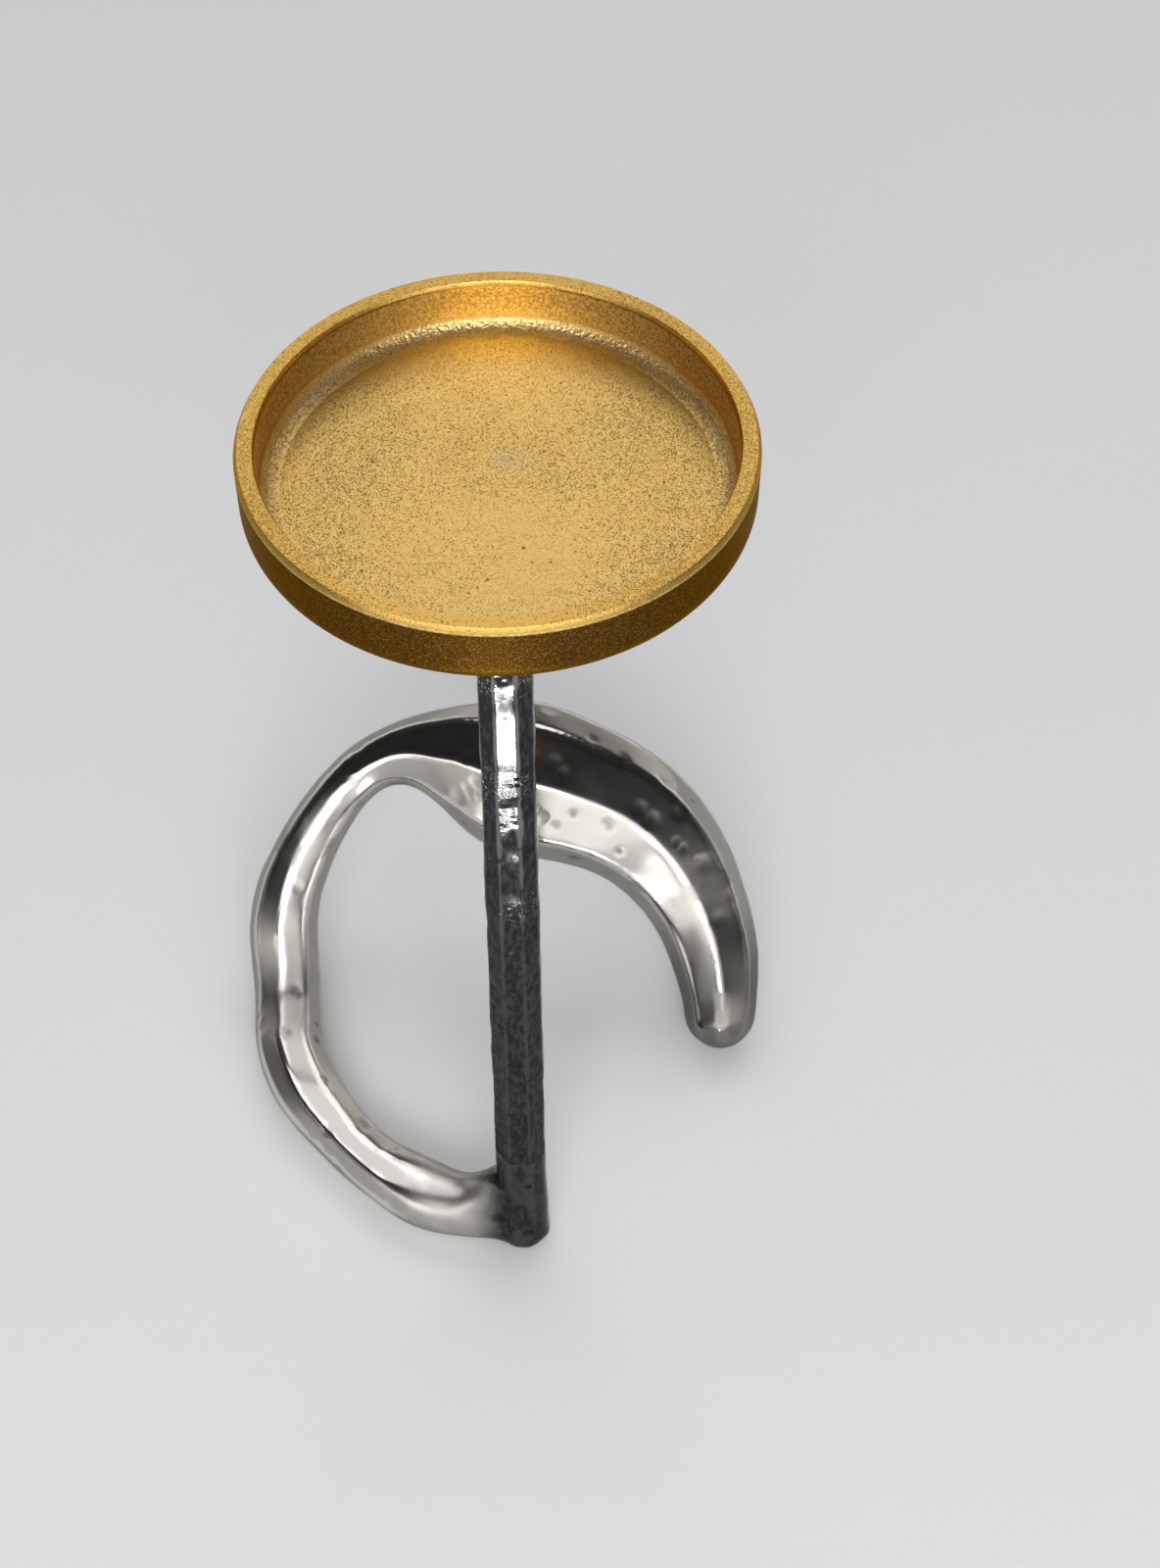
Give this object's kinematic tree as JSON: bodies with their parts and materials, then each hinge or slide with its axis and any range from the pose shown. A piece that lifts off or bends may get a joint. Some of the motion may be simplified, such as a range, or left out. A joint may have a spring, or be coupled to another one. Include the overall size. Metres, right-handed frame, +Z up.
{
  "type": "candle plate",
  "caption": "Candle plate: a shallow round gold-finished dish on an upright faceted stem that stands on an open cast loop, for a pillar candle.",
  "frame": {"origin": "on the table under the stem's axis, at the underside of the heel's felt pad", "axes": "+Z up along the stem, +Y to the back, where the loop's crown is, +X to the right, where the loop's free end is"},
  "size_m": [0.1555, 0.1825, 0.3062],
  "materials": {
    "gold": "brushed satin gold with fine pits",
    "silver": "polished nickel look, hammered",
    "steel": "plain",
    "fibre": "matte",
    "felt": "felt"
  },
  "bodies": {
    "base": {"stem": "silver", "loop": "silver", "heel_screw": "steel", "heel_washer": "steel", "heel_pad": "felt", "left_pad": "felt", "tail_pad": "felt"},
    "washer": {"dish_washer": "fibre"},
    "dish": {"dish": "gold", "dish_stud": "steel"}
  },
  "joints": [
    {"name": "dish_turn", "type": "hinge", "parent": "base", "child": "washer", "pos_m": [0, 0, 0.2862], "axis": [0, 0, 1], "range_deg": [0, 2700]},
    {"name": "dish_rise", "type": "slide", "parent": "washer", "child": "dish", "axis": [0, 0, 1], "range_m": [0, 0.0075]}
  ],
  "couplings": [
    {"joint": "dish_rise", "follows": "dish_turn", "m_per_rad": 0.000159}
  ]
}
